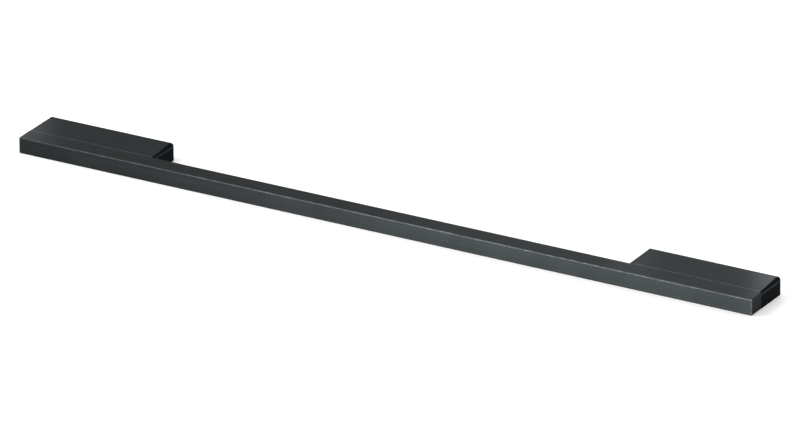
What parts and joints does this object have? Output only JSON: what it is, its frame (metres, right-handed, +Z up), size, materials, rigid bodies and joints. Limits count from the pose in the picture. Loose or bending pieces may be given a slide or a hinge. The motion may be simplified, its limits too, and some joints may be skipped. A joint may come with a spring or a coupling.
{
  "type": "dishwasher handle",
  "caption": "Straight bar handle for a built-in dishwasher door, carried on wide, shallow feet that run back to the door and leave a finger gap between them.",
  "frame": {"origin": "centre of the bounding box seen from above, at the level of the underside", "axes": "+X along the bar, +Y toward the door, +Z up; the front face of the bar looks toward -Y"},
  "size_m": [0.595, 0.0428, 0.0136],
  "materials": {
    "bar_aluminium": "satin black anodised",
    "foot_aluminium": "satin black anodised",
    "cap_plastic": "fine spark texture",
    "block_casting": "as cast",
    "screw_steel": "zinc plated"
  },
  "bodies": {
    "root": {"bar": "bar_aluminium", "left_foot": "foot_aluminium", "right_foot": "foot_aluminium", "left_outer_cap": "cap_plastic", "left_inner_cap": "cap_plastic", "right_inner_cap": "cap_plastic", "right_outer_cap": "cap_plastic", "left_mounting_block": "block_casting", "right_mounting_block": "block_casting", "left_outer_screw": "screw_steel", "left_inner_screw": "screw_steel", "right_inner_screw": "screw_steel", "right_outer_screw": "screw_steel"}
  },
  "joints": []
}
